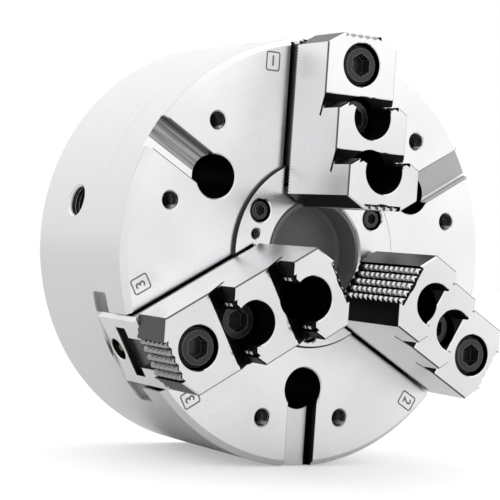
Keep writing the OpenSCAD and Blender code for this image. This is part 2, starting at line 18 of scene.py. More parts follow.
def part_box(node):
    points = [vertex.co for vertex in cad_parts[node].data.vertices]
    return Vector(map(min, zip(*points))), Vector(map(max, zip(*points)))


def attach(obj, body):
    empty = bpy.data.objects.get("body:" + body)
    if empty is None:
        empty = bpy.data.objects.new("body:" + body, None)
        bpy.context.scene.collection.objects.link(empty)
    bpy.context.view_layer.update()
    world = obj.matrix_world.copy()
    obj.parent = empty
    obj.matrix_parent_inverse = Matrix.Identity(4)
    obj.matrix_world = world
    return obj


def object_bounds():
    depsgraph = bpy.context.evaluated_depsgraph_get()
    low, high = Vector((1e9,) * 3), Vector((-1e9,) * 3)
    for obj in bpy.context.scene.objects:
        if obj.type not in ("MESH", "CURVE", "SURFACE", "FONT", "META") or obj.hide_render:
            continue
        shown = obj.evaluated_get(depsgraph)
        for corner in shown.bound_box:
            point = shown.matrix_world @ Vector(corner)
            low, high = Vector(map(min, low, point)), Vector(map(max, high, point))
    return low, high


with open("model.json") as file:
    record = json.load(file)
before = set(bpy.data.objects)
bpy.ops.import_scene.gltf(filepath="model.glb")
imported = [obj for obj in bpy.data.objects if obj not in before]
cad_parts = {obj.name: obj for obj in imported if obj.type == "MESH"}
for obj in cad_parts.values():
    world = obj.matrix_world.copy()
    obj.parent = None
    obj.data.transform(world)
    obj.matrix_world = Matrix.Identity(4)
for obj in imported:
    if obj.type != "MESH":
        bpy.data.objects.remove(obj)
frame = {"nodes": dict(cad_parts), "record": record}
cad_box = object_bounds()

# %% [markdown]
# ## Sizes
#
# Many places are worked out from the solids, so a piece still fits if the design changes.
# They could be typed in by hand, but then each one would have to be kept in step.
# "Chuck axes" are x and y across the face and z from the back face to the working face,
# in millimetres. "Jaw axes" are the same, turned so that x runs out along one jaw.

# %% Sizes read from the frame
MM = 0.001
CLOCK = {1: 90.0, 2: 330.0, 3: 210.0}
BOLT_CLOCK = (30.0, 150.0, 270.0)


def reach(node, axis, side=1):
    """How far a node reaches along a row axis, or against it, in millimetres."""
    low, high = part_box(node)
    return (high[axis] if side > 0 else -low[axis]) / MM


def wall_above(height):
    """Outermost place of jaw 1 among its corners that lie above a height."""
    corners = frame["nodes"]["top_jaw_1"].data.vertices
    return max(v.co.z for v in corners if -v.co.y > height * MM) / MM


FACE = reach("chuck_body", 1, -1)
BODY_R = reach("chuck_body", 0)
JAW_TOP = reach("top_jaw_1", 1, -1)
JAW_OUT = reach("top_jaw_1", 2)
JAW_IN = -reach("top_jaw_1", 2, -1)
JAW_HALF = reach("top_jaw_1", 0)
BASE_OUT = reach("master_jaw_1", 2)
JOINT = FACE + 5.0
STEP_RISE = 12.0
STEPS = [JAW_TOP - 2 * STEP_RISE, JAW_TOP - STEP_RISE, JAW_TOP]
WALLS = [wall_above(STEPS[0] + 1), wall_above(STEPS[1] + 1)]
HEAD_R = reach("jaw_screws_1", 0)
SCREW_X = [reach("jaw_screws_1", 2) - HEAD_R, -reach("jaw_screws_1", 2, -1) + HEAD_R]
SCREW_PITCH = SCREW_X[0] - SCREW_X[1]
OUTER_SEAT_LIFT = 3.0
OUTER_HEAD_TOP = reach("jaw_screws_1", 1, -1)
HEAD_TOPS = [OUTER_HEAD_TOP, OUTER_HEAD_TOP - OUTER_SEAT_LIFT]
FLANGE_TOP = reach("centre_bush", 1, -1)
FLANGE_R = reach("centre_bush", 0)
CAP_R = reach("dust_cap", 0)
TNUT_HALF = reach("t_nut_1", 0)
TNUT_FOOT = -reach("t_nut_1", 1)
MOUNTS = {mount["name"]: mount for mount in frame["record"]["mounts"]}
print("face", round(FACE, 2), "radius", round(BODY_R, 2), "walls", [round(w, 2) for w in WALLS])


# %% Places in chuck axes and jaw axes
def chuck_place(turn=0.0):
    """Matrix from chuck axes in millimetres, turned about the spindle, to the row frame."""
    scale = Matrix.Scale(MM, 4)
    return scale @ Matrix.Rotation(math.radians(90), 4, "X") @ Matrix.Rotation(math.radians(turn), 4, "Z")


def at(x, y, z, tilt=None):
    """Matrix that moves a shape to a place, after an optional tilt (angle, axis)."""
    moved = Matrix.Translation((x, y, z))
    return moved @ Matrix.Rotation(math.radians(tilt[0]), 4, tilt[1]) if tilt else moved


# %% [markdown]
# ## Node helpers
#
# Shader and geometry trees are built the same way: add a node, then give each input a value
# or a link. Doing that by hand for every node hides the idea behind the wiring, so two short
# helpers do it here, and a third opens a node group with named inputs and outputs.

# %% Node helpers
def feed(tree, socket, value):
    """Link a socket to another, or set its value."""
    if isinstance(value, bpy.types.NodeSocket):
        tree.links.new(value, socket)
    else:
        socket.default_value = value


def add(tree, kind, inputs=None, **settings):
    """Add a node, set its options, and feed its inputs by name or number."""
    node = tree.nodes.new(kind)
    for name, value in settings.items():
        setattr(node, name, value)
    for key, value in (inputs or {}).items():
        feed(tree, node.inputs[key], value)
    return node


def calc(tree, operation, *values):
    """One Math node; gives back its result."""
    return add(tree, "ShaderNodeMath", dict(enumerate(values)), operation=operation).outputs[0]


def between(tree, value, low, high):
    """1 where a value lies between two limits, and 0 elsewhere."""
    over = calc(tree, "GREATER_THAN", value, low)
    return calc(tree, "MULTIPLY", over, calc(tree, "LESS_THAN", value, high))


def both(tree, *masks):
    """1 where every mask is 1."""
    found = masks[0]
    for mask in masks[1:]:
        found = calc(tree, "MULTIPLY", found, mask)
    return found


def either(tree, *masks):
    """1 where any mask is 1."""
    found = masks[0]
    for mask in masks[1:]:
        found = calc(tree, "MAXIMUM", found, mask)
    return found


def open_group(name, inputs, outputs, kind="ShaderNodeTree"):
    """A new node group; gives back the tree, its given inputs and its result sockets."""
    tree = bpy.data.node_groups.new(name, kind)
    for label, socket, value in inputs:
        item = tree.interface.new_socket(name=label, in_out="INPUT", socket_type="NodeSocket" + socket)
        if value is not None:
            item.default_value = value
    for label, socket in outputs:
        tree.interface.new_socket(name=label, in_out="OUTPUT", socket_type="NodeSocket" + socket)
    return tree, tree.nodes.new("NodeGroupInput").outputs, tree.nodes.new("NodeGroupOutput").inputs


# %% [markdown]
# ## Lay of the tools
#
# A machined surface keeps the lay of the tool that cut it. The body is turned, so its marks
# run round the axis; the jaws are surface ground, so theirs run straight along them. Noise
# stretched a long way in one direction gives both. The turned kind measures radius and height,
# and adds a little of the direction so that the lines break up as they go round.

# %% Shader groups for the lay
def turned_lay_group():
    tree, given, result = open_group(
        "turned_lay",
        [("Vector", "Vector", None), ("Lines per mm", "Float", 3.0), ("Wander", "Float", 3.0)],
        [("Lay", "Float")])
    x, y, z = add(tree, "ShaderNodeSeparateXYZ", {0: given["Vector"]}).outputs
    flat = add(tree, "ShaderNodeCombineXYZ", {0: x, 1: y}).outputs[0]
    radius = add(tree, "ShaderNodeVectorMath", {0: flat}, operation="LENGTH").outputs["Value"]
    heading = add(tree, "ShaderNodeVectorMath", {0: flat}, operation="NORMALIZE").outputs[0]
    lines = add(tree, "ShaderNodeCombineXYZ", {
        0: calc(tree, "MULTIPLY", radius, given["Lines per mm"]),
        1: calc(tree, "MULTIPLY", z, given["Lines per mm"])}).outputs[0]
    wander = add(tree, "ShaderNodeVectorMath", {0: heading, "Scale": given["Wander"]}, operation="SCALE")
    where = add(tree, "ShaderNodeVectorMath", {0: lines, 1: wander.outputs[0]}, operation="ADD")
    noise = add(tree, "ShaderNodeTexNoise", {"Vector": where.outputs[0], "Scale": 1.0, "Detail": 3.0})
    feed(tree, result["Lay"], noise.outputs[0])
    return tree


def ground_lay_group():
    tree, given, result = open_group(
        "ground_lay",
        [("Vector", "Vector", None), ("Lines per mm", "Float", 3.0), ("Wander", "Float", 0.04)],
        [("Lay", "Float")])
    x, y, z = add(tree, "ShaderNodeSeparateXYZ", {0: given["Vector"]}).outputs
    where = add(tree, "ShaderNodeCombineXYZ", {
        0: calc(tree, "MULTIPLY", x, given["Wander"]),
        1: calc(tree, "MULTIPLY", y, given["Lines per mm"]),
        2: calc(tree, "MULTIPLY", z, given["Lines per mm"])})
    noise = add(tree, "ShaderNodeTexNoise", {"Vector": where.outputs[0], "Scale": 1.0, "Detail": 3.0})
    feed(tree, result["Lay"], noise.outputs[0])
    return tree


TURNED = turned_lay_group()
GROUND = ground_lay_group()
print("lay groups:", TURNED.name, GROUND.name)

# %% [markdown]
# ## Wear, handling and the three-fold face
#
# Edges that are wiped and knocked polish brighter than the faces beside them. The Bevel node
# rounds the normal near an edge, so the difference from the true normal marks those edges.
# Oil and handling leave broad, faint clouds. The face pattern repeats every 120 degrees, so
# one group folds the angle: "Along" and "Across" are measured from the nearest bolt groove.

# %% Shader groups for wear, handling and folding
def edge_wear_group():
    tree, given, result = open_group("edge_wear", [("Radius", "Float", 0.0006)], [("Wear", "Float")])
    soft = add(tree, "ShaderNodeBevel", {"Radius": given["Radius"]}, samples=4)
    true = add(tree, "ShaderNodeNewGeometry").outputs["Normal"]
    same = add(tree, "ShaderNodeVectorMath", {0: soft.outputs[0], 1: true}, operation="DOT_PRODUCT")
    turned = calc(tree, "SUBTRACT", 1.0, same.outputs["Value"])
    wear = add(tree, "ShaderNodeMapRange", {"Value": turned, "From Min": 0.01, "From Max": 0.12})
    feed(tree, result["Wear"], wear.outputs[0])
    return tree


def handling_group():
    tree, given, result = open_group(
        "handling", [("Vector", "Vector", None), ("Size", "Float", 30.0)], [("Cloud", "Float")])
    scale = calc(tree, "DIVIDE", 1.0, given["Size"])
    noise = add(tree, "ShaderNodeTexNoise", {"Vector": given["Vector"], "Scale": scale, "Detail": 4.0})
    cloud = add(tree, "ShaderNodeMapRange", {"Value": noise.outputs[0], "From Min": 0.35, "From Max": 0.65})
    feed(tree, result["Cloud"], cloud.outputs[0])
    return tree


def folding_group():
    tree, given, result = open_group(
        "three_fold", [("Vector", "Vector", None), ("First clock", "Float", math.radians(30))],
        [("Radius", "Float"), ("Along", "Float"), ("Across", "Float")])
    x, y, z = add(tree, "ShaderNodeSeparateXYZ", {0: given["Vector"]}).outputs
    flat = add(tree, "ShaderNodeCombineXYZ", {0: x, 1: y}).outputs[0]
    radius = add(tree, "ShaderNodeVectorMath", {0: flat}, operation="LENGTH").outputs["Value"]
    angle = calc(tree, "SUBTRACT", calc(tree, "ARCTAN2", y, x), given["First clock"])
    folded = calc(tree, "WRAP", angle, math.radians(60), math.radians(-60))
    across = calc(tree, "MULTIPLY", radius, calc(tree, "SINE", folded))
    feed(tree, result["Radius"], radius)
    feed(tree, result["Along"], calc(tree, "MULTIPLY", radius, calc(tree, "COSINE", folded)))
    feed(tree, result["Across"], calc(tree, "ABSOLUTE", across))
    return tree


WEAR = edge_wear_group()
HANDLING = handling_group()
FOLD = folding_group()
print("shader groups:", [g.name for g in bpy.data.node_groups])

# %% [markdown]
# ## One finish, many surfaces
#
# All the steel is the same metal with a different cut. A finish is a bright and a dull tone,
# mixed by the lay and the handling clouds, with edges polished by wear. Where a part has a
# zone of its own, such as a counterbore painted black as shade or a milled groove floor with a
# painted reflection, a mask mixes that zone's tone in. The metal itself is one Principled shader
# with its plain values set on it.

# %% The finish function
class Spot:
    """Where a shading point is, in the axes that a finish is drawn in."""

    def __init__(self, tree, clock):
        self.tree = tree
        self.clock = clock
        place = add(tree, "ShaderNodeTexCoord").outputs["Object"]
        turn = (math.radians(-90), 0.0, math.radians(-clock))
        scale = (1 / MM, 1 / MM, 1 / MM)
        mapped = add(tree, "ShaderNodeMapping", {"Vector": place, "Rotation": turn, "Scale": scale})
        self.vector = mapped.outputs[0]
        self.x, self.y, self.z = add(tree, "ShaderNodeSeparateXYZ", {0: self.vector}).outputs
        self.side = calc(tree, "ABSOLUTE", self.y)

    def distance(self, u, v):
        """Distance of two coordinates from zero."""
        squares = calc(self.tree, "ADD", calc(self.tree, "MULTIPLY", u, u), calc(self.tree, "MULTIPLY", v, v))
        return calc(self.tree, "SQRT", squares)


def use_group(tree, group, inputs):
    """Place a shader group in a tree; gives back its outputs."""
    node = tree.nodes.new("ShaderNodeGroup")
    node.node_tree = group
    for key, value in inputs.items():
        feed(tree, node.inputs[key], value)
    return node.outputs


def mix_colour(tree, mask, first, second):
    node = add(tree, "ShaderNodeMix", {0: mask, 6: first, 7: second}, data_type="RGBA")
    return node.outputs[2]


def mix_value(tree, mask, first, second):
    return add(tree, "ShaderNodeMix", {0: mask, 2: first, 3: second}, data_type="FLOAT").outputs[0]


def grey(tone, warm=0.0):
    """A near-neutral colour from one tone."""
    return (tone * (1 + warm), tone, tone * (1 - warm) * 1.01, 1.0)


def finish(name, bright, dull, rough, lay=TURNED, lines=3.0, wander=3.0, relief=0.00002,
           clock=0.0, zones=None, metallic=1.0, cloud_size=30.0, wear=0.6, edge_tone=1.0, warm=0.0):
    """A machined finish; zones(spot) lists (mask, tone, roughness) laid over it in turn."""
    material = bpy.data.materials.new(name)
    material.use_nodes = True
    tree = material.node_tree
    tree.nodes.clear()
    spot = Spot(tree, clock)
    streak = use_group(tree, lay, {"Vector": spot.vector, "Lines per mm": lines, "Wander": wander})["Lay"]
    cloud = use_group(tree, HANDLING, {"Vector": spot.vector, "Size": cloud_size})["Cloud"]
    blend = mix_value(tree, 0.45, streak, cloud)
    colour = mix_colour(tree, blend, grey(dull, warm), grey(bright, warm))
    roughness = mix_value(tree, cloud, rough * 1.15, rough * 0.85)
    bare = 1.0
    for mask, tone, zone_rough, *own_lay in (zones(spot) if zones else ()):
        zone_streak = own_lay[0] if own_lay else streak
        zone_tone = mix_colour(tree, zone_streak, grey(tone * (0.45 + 0.45 * tone)),
                               grey(tone * (1.6 - 0.5 * tone)))
        colour = mix_colour(tree, mask, colour, zone_tone)
        roughness = mix_value(tree, mask, roughness, zone_rough)
        bare = calc(tree, "MULTIPLY", bare, calc(tree, "SUBTRACT", 1.0, mask))
    edge = use_group(tree, WEAR, {"Radius": 0.0005})["Wear"]
    polished = calc(tree, "MULTIPLY", calc(tree, "MULTIPLY", edge, wear), bare)
    colour = mix_colour(tree, polished, colour, grey(edge_tone, warm))
    bump = add(tree, "ShaderNodeBump", {"Height": streak, "Strength": 0.35, "Distance": relief})
    shader = add(tree, "ShaderNodeBsdfPrincipled", {
        "Base Color": colour, "Roughness": roughness, "Metallic": metallic,
        "Normal": bump.outputs[0]})
    output = tree.nodes.new("ShaderNodeOutputMaterial")
    tree.links.new(shader.outputs[0], output.inputs[0])
    return material


def wear_on(node, material):
    """Give a carried-over solid its finish."""
    slots = frame["nodes"][node].material_slots
    for slot in slots:
        slot.material = material
    print(node, "wears", material.name)


# %% [markdown]
# ## Body and bush
#
# The body is turned from a forging and its face and rim are finish ground, so it is nearly
# white with fine rings. The rim is painted darker than the face as shade. Counterbores, tapped
# holes and the sides of the jaw slots are deep, and are painted almost black as shade; the ends
# of the jaw slots at the rim are painted mid grey as shade. The three bolt grooves are milled alike
# on a real chuck, but each mirrors another part of the room. Reflections alone gave them too little
# contrast, so each floor has its own painted reflection tone, and a painted band along one wall:
# a painted highlight in two grooves and a painted shade in the third. The tones are fixed to the metal.

# %% Body and bush finishes
MOUNT_R = MOUNTS["spindle_bolt_holes"]["dims"]["pcd_mm"] / 2
GROOVE_HALF = 8.0
GROOVE_DEPTH = 5.0
FRONT_CHAMFER = 3.0
GUIDE_TOP = FACE - 19.0
FLANGE_OUT = BODY_R - 7.2
SPIGOT_DEPTH = MOUNTS["spindle_spigot"]["dims"]["length_mm"]
RIM = 0.75
SKIN = 0.9
UNLIT = 0.012
# Clock of each groove, the painted reflection tone of its floor, whether cutter lines show, a painted
# band along one wall (from, to, across the groove) and the tone of that band: 1.0 a painted
# highlight, UNLIT a painted shade
GROOVE_PAINTED_REFLECTIONS = (
    (150.0, 0.27, True, (3.4, 9.0), 1.0),
    (30.0, 0.42, False, (-7.6, -6.4), 1.0),
    (270.0, 0.78, False, (5.8, 9.0), UNLIT))


def body_zones(spot):
    """Grooves with painted reflections; painted shade on the ends of the jaw slots, the rim, and all that
    lies deep below the face.
    """
    tree = spot.tree
    radius, along, across = use_group(tree, FOLD, {"Vector": spot.vector})
    groove = both(
        tree, calc(tree, "GREATER_THAN", along, MOUNT_R),
        calc(tree, "LESS_THAN", across, GROOVE_HALF + RIM),
        calc(tree, "GREATER_THAN", spot.z, FACE - GROOVE_DEPTH - 0.3))
    chamfer_line = BODY_R + FACE - FRONT_CHAMFER - 0.6
    under_chamfer = calc(tree, "LESS_THAN", calc(tree, "ADD", radius, spot.z), chamfer_line)
    below_face = between(tree, spot.z, SPIGOT_DEPTH + 0.5, FACE - RIM)
    near_rim = both(
        tree, calc(tree, "LESS_THAN", spot.z, GUIDE_TOP),
        between(tree, radius, FLANGE_OUT, BODY_R - SKIN), below_face)
    deep_painted_shade = both(
        tree, below_face, under_chamfer,
        calc(tree, "LESS_THAN", radius, BODY_R - SKIN), calc(tree, "SUBTRACT", 1.0, groove),
        calc(tree, "SUBTRACT", 1.0, near_rim))
    rim = calc(tree, "GREATER_THAN", radius, BODY_R - 0.3)
    # Painted shade: the rim darker than the face, the ends of the jaw slots mid grey, and all that lies deep
    # below the face near black.
    zones = [(rim, 0.76, 0.3), (near_rim, 0.45, 0.35), (deep_painted_shade, UNLIT, 0.5)]
    lengthwise = add(tree, "ShaderNodeCombineXYZ", {0: along, 1: across, 2: spot.z}).outputs[0]
    cutter = use_group(tree, GROUND, {"Vector": lengthwise, "Lines per mm": 0.7, "Wander": 0.02})["Lay"]
    cutter = add(tree, "ShaderNodeMapRange", {"Value": cutter, "From Min": 0.35, "From Max": 0.65}).outputs[0]
    # Painted reflections: each groove floor gets its own tone, and a painted band along one wall.
    for clock, tone, lines, band, painted_band_tone in GROOVE_PAINTED_REFLECTIONS:
        turn = math.radians(clock)
        out = calc(tree, "ADD", calc(tree, "MULTIPLY", spot.x, math.cos(turn)),
                   calc(tree, "MULTIPLY", spot.y, math.sin(turn)))
        aside = calc(tree, "SUBTRACT", calc(tree, "MULTIPLY", spot.y, math.cos(turn)),
                     calc(tree, "MULTIPLY", spot.x, math.sin(turn)))
        here = both(tree, groove, calc(tree, "GREATER_THAN", out, 0.0),
                    calc(tree, "LESS_THAN", spot.z, FACE - 0.15))
        zones.append((here, tone, 0.3, cutter if lines else 0.5))
        zones.append((both(tree, here, between(tree, aside, *band)), painted_band_tone, 0.35, 0.5))
    return zones


def bush_zones(spot):
    """Painted shade: a dark line on the side of the flange, and the screw pockets below its top."""
    tree = spot.tree
    radius = use_group(tree, FOLD, {"Vector": spot.vector})["Radius"]
    deep_painted_shade = both(
        tree, calc(tree, "LESS_THAN", spot.z, FLANGE_TOP - RIM),
        between(tree, radius, CAP_R + 1.5, FLANGE_R - 1.2))
    edge = both(
        tree, calc(tree, "GREATER_THAN", radius, FLANGE_R - SKIN),
        calc(tree, "LESS_THAN", spot.z, FLANGE_TOP - 0.1))
    return [(edge, 0.03, 0.4), (deep_painted_shade, UNLIT, 0.5)]


body_steel = finish("ground_body_steel", 0.97, 0.84, 0.3, zones=body_zones, cloud_size=45.0)
bush_steel = finish("ground_bush_steel", 0.98, 0.84, 0.28, zones=bush_zones, lines=4.0)
wear_on("chuck_body", body_steel)
wear_on("centre_bush", bush_steel)

# %% [markdown]
# ## Jaws
#
# Base jaws and top jaws are hardened and surface ground along their length. The insides of
# the T-slot and the screw counterbores are painted black as shade. The chamfered ends of a top
# jaw aren't ground, and are painted near black as shade. Each jaw points its own way, so each has
# its own copy of the finish, turned to its clock angle. Two places differ between the jaws: a
# painted shade on the flanks of base jaw 1, and a painted highlight on one inner end of top jaw 2.

# %% Jaw finishes
TIP_HALF = 10.3
CUT_DEPTH = 2.1
CBORE_R = 10.25
END_CUT = 5.5
WALL_RUN = 3.2
RELIEF_IN, RELIEF_OUT, RELIEF_DEEP = 7.2, 4.5, 4.2
SLOT_HEAD_H = 9.1
SLOT_NECK_HALF = 8.15
GUIDE_HALF = 19.1
NIPPLE_Z = 64.4
NIPPLE_POCKET_R = 5.6


def base_jaw_zones(spot):
    """The flanks, with a painted shade on jaw 1, the seam under the top jaw, and the insides of slot and
    pocket painted black as shade.
    """
    tree = spot.tree
    slot_head = both(
        tree, calc(tree, "LESS_THAN", spot.side, TNUT_HALF + 0.45),
        between(tree, spot.z, TNUT_FOOT - 0.4, TNUT_FOOT + SLOT_HEAD_H))
    slot_neck = both(
        tree, calc(tree, "LESS_THAN", spot.side, SLOT_NECK_HALF),
        between(tree, spot.z, TNUT_FOOT - 0.4, JOINT + 1))
    nipple_rise = calc(tree, "SUBTRACT", spot.z, NIPPLE_Z)
    nipple = calc(tree, "LESS_THAN", spot.distance(spot.y, nipple_rise), NIPPLE_POCKET_R)
    inside = calc(tree, "LESS_THAN", spot.x, BASE_OUT - 0.5)
    beside = calc(tree, "GREATER_THAN", spot.side, GUIDE_HALF)
    flank = both(
        tree, beside, calc(tree, "GREATER_THAN", spot.z, FACE - 1),
        calc(tree, "LESS_THAN", spot.x, BASE_OUT - 3))
    seam = both(tree, beside, calc(tree, "GREATER_THAN", spot.z, JOINT - 0.3))
    # Painted shade on the flanks of base jaw 1 only.
    jaw_one_painted_flank_shade = calc(tree, "MULTIPLY", flank, 1.0 if spot.clock == CLOCK[1] else 0.0)
    sides = both(
        tree, between(tree, spot.side, GUIDE_HALF, JAW_HALF + 0.5),
        calc(tree, "GREATER_THAN", spot.z, FACE + 0.5))
    # The insides of the slot and the grease pocket are painted near black as shade.
    return [(sides, 0.92, 0.34), (jaw_one_painted_flank_shade, 0.12, 0.4), (seam, 0.12, 0.5),
            (both(tree, inside, either(tree, slot_head, slot_neck, nipple)), 0.05, 0.4)]


def top_jaw_zones(spot):
    """Ground sides, dark corners, and painted shade: near-black chamfered ends (one lighter on jaw 2, a
    painted highlight), and black counterbores, walls, reliefs and tooth roots.
    """
    tree = spot.tree
    middle = calc(tree, "SUBTRACT", spot.x, SCREW_X[1])
    folded = calc(tree, "WRAP", middle, SCREW_PITCH / 2, -SCREW_PITCH / 2)
    bores = calc(tree, "LESS_THAN", spot.distance(folded, spot.y), CBORE_R + 0.2)
    # Painted shade: the chamfered ends near black, the outer ones a little lighter.
    end_in = both(
        tree, calc(tree, "LESS_THAN", spot.x, JAW_IN + END_CUT),
        calc(tree, "GREATER_THAN", spot.side, TIP_HALF),
        calc(tree, "LESS_THAN", spot.z, STEPS[2] - RIM))
    # Painted highlight: one inner end of top jaw 2 is lighter.
    lit_end = both(
        tree, end_in, calc(tree, "GREATER_THAN", spot.y, 0.0), 1.0 if spot.clock == CLOCK[2] else 0.0)
    end_out = both(
        tree, calc(tree, "GREATER_THAN", spot.x, JAW_OUT - END_CUT),
        calc(tree, "GREATER_THAN", spot.side, TIP_HALF), calc(tree, "LESS_THAN", spot.z, STEPS[0] - RIM))
    roots = both(
        tree, calc(tree, "LESS_THAN", spot.side, TIP_HALF + 0.05),
        either(tree, calc(tree, "LESS_THAN", spot.x, JAW_IN + CUT_DEPTH + 0.1),
               both(tree, calc(tree, "GREATER_THAN", spot.x, JAW_OUT - CUT_DEPTH - 0.1),
                    calc(tree, "LESS_THAN", spot.z, STEPS[0] - 0.1))))
    corners = between(tree, spot.side, JAW_HALF - 0.68, JAW_HALF - 0.03)
    sides = calc(tree, "GREATER_THAN", spot.side, JAW_HALF - 0.05)
    zones = [
        (sides, 0.92, 0.34), (corners, 0.14, 0.35), (end_in, 0.014, 0.4),
        (lit_end, 0.05, 0.35), (end_out, 0.09, 0.4), (roots, UNLIT, 0.5)]
    # Painted shade: the reliefs under each step and the step walls are near black.
    for wall, foot, top in ((WALLS[0], STEPS[0], STEPS[1]), (WALLS[1], STEPS[1], STEPS[2])):
        under = both(
            tree, between(tree, spot.x, wall - RELIEF_IN, wall + RELIEF_OUT),
            between(tree, spot.z, foot - RELIEF_DEEP, foot - 0.15),
            calc(tree, "LESS_THAN", spot.side, JAW_HALF - 0.4))
        face = both(
            tree, between(tree, spot.x, wall - WALL_RUN, wall + 0.1),
            between(tree, spot.z, foot - 0.5, top - 0.1))
        zones += [(under, UNLIT, 0.5), (face, UNLIT, 0.5)]
    return zones + [(bores, UNLIT, 0.45)]


for n, clock in CLOCK.items():
    base_steel = finish(f"ground_base_jaw_{n}", 0.9, 0.68, 0.22, GROUND, 3.0, 0.05,
                        clock=clock, zones=base_jaw_zones)
    top_steel = finish(f"ground_top_jaw_{n}", 0.95, 0.82, 0.13, GROUND, 3.5, 0.05,
                       clock=clock, zones=top_jaw_zones)
    wear_on(f"master_jaw_{n}", base_steel)
    wear_on(f"top_jaw_{n}", top_steel)

# %% [markdown]
# ## Screws, drive and seals
#
# Socket screws and T-nuts are black oxide: a thin dark skin with an oily shine, rubbed bright
# at the edges. The wedge plunger, its nut and its retainer are turned steel that nobody sees
# until the chuck is apart. The cup in the bore is a smooth dark moulding, the seals are matt
# rubber, and the grease nipples are brass, painted dark as shade in their pockets.

# %% Small parts
blackened = finish("black_oxide", 0.02, 0.008, 0.26, metallic=0.0, wear=0.8, cloud_size=12.0,
                   edge_tone=0.3)
drive_steel = finish("turned_drive_steel", 0.62, 0.42, 0.34, lines=2.0)
nut_steel = finish("turned_nut_steel", 0.52, 0.36, 0.38, lines=2.0)
cup_plastic = finish("dark_cup_moulding", 0.21, 0.17, 0.45, metallic=0.0, wear=0.3, cloud_size=20.0,
                     edge_tone=0.3)
rubber = finish("matt_black_rubber", 0.03, 0.018, 0.7, metallic=0.0, wear=0.0, cloud_size=8.0)
# The brass is painted dark as shade in its pocket.
brass = finish("turned_brass_painted_dark_as_shade", 0.2, 0.1, 0.35, lines=4.0, wear=0.4, warm=0.3)

for n in CLOCK:
    wear_on(f"jaw_screws_{n}", blackened)
    wear_on(f"t_nut_{n}", blackened)
    wear_on(f"grease_nipple_{n}", brass)
for name in ("bush_screws", "retainer_screws"):
    wear_on(name, blackened)
for name in ("wedge_plunger", "nut_retainer"):
    wear_on(name, drive_steel)
for name in ("sleeve_seal", "plunger_seal"):
    wear_on(name, rubber)
wear_on("draw_nut", nut_steel)
wear_on("dust_cap", cup_plastic)

# %% [markdown]
# ## Growing what repeats
#
# Teeth, threads and knurls are one small shape set out by a rule, which is what Geometry
# Nodes are good at. Each tree is built once and run with different sizes. Its result is baked
# to a plain mesh, and all the runs for one body are joined into one piece.

# %% Running a tree and joining its results
def grow(tree, sizes):
    """Run a geometry tree with the named sizes; gives back a plain mesh."""
    host = bpy.data.objects.new(tree.name, bpy.data.meshes.new(tree.name))
    modifier = host.modifiers.new("grow", "NODES")
    modifier.node_group = tree
    for item in tree.interface.items_tree:
        if item.in_out == "INPUT" and item.name in sizes:
            modifier[item.identifier] = sizes[item.name]
    bpy.context.scene.collection.objects.link(host)
    graph = bpy.context.evaluated_depsgraph_get()
    mesh = bpy.data.meshes.new_from_object(host.evaluated_get(graph), depsgraph=graph)
    bpy.data.objects.remove(host)
    return mesh


def join(name, parts, material):
    """One object at the origin from (mesh, matrix) pairs."""
    shape = bmesh.new()
    for mesh, matrix in parts:
        copy = mesh.copy()
        copy.transform(matrix)
        shape.from_mesh(copy)
        bpy.data.meshes.remove(copy)
    bmesh.ops.recalc_face_normals(shape, faces=shape.faces)
    mesh = bpy.data.meshes.new(name)
    shape.to_mesh(mesh)
    shape.free()
    mesh.materials.clear()
    mesh.materials.append(material)
    for polygon in mesh.polygons:
        polygon.material_index = 0
    piece = bpy.data.objects.new(name, mesh)
    bpy.context.scene.collection.objects.link(piece)
    print(name, len(mesh.polygons), "faces")
    return piece


def set_finish(tree, geometry, material, result):
    """End a tree in Realize Instances and Set Material."""
    real = add(tree, "GeometryNodeRealizeInstances", {0: geometry})
    done = add(tree, "GeometryNodeSetMaterial", {0: real.outputs[0], "Material": material})
    feed(tree, result[0], done.outputs[0])


# %% [markdown]
# ## Grip teeth
#
# Hard jaws bite with rows of small pyramids, made by milling grooves one way and grinding
# slots across. Modelling each by hand would take hundreds of near copies. A grid of points
# with one four-sided cone on each gives the same pattern, and its flat top keeps it strong.
# The tips are bright. The teeth on the outer end are painted darker as shade, and those on the step walls and
# the flanks between the teeth painted dark as shade.

# %% Tooth finishes
TOOTH_SHINE = 1.75


def tooth_zones(spot):
    """Teeth are bright on top and painted dark down their flanks as shade; on the step walls and the outer
    end they are painted darker as shade.
    """
    tree = spot.tree
    flanks = []
    for wall, sign in ((JAW_IN, 1), (JAW_OUT, -1)):
        low, high = sorted((wall + sign * TOOTH_SHINE, wall + sign * 2 * CUT_DEPTH))
        flanks.append(between(tree, spot.x, low, high))
    walls = [between(tree, spot.x, wall - 2 * CUT_DEPTH, wall - 0.25) for wall in WALLS]
    outer_end = calc(tree, "GREATER_THAN", spot.x, JAW_OUT - 2 * CUT_DEPTH)
    return [(outer_end, 0.4, 0.35), (either(tree, *flanks), 0.02, 0.5), (either(tree, *walls), 0.02, 0.5)]


tooth_steel = {
    n: finish(f"bright_tooth_steel_{n}", 1.0, 0.85, 0.3, GROUND, 4.0, 0.3, clock=clock, zones=tooth_zones,
              wear=0.3, cloud_size=15.0)
    for n, clock in CLOCK.items()}


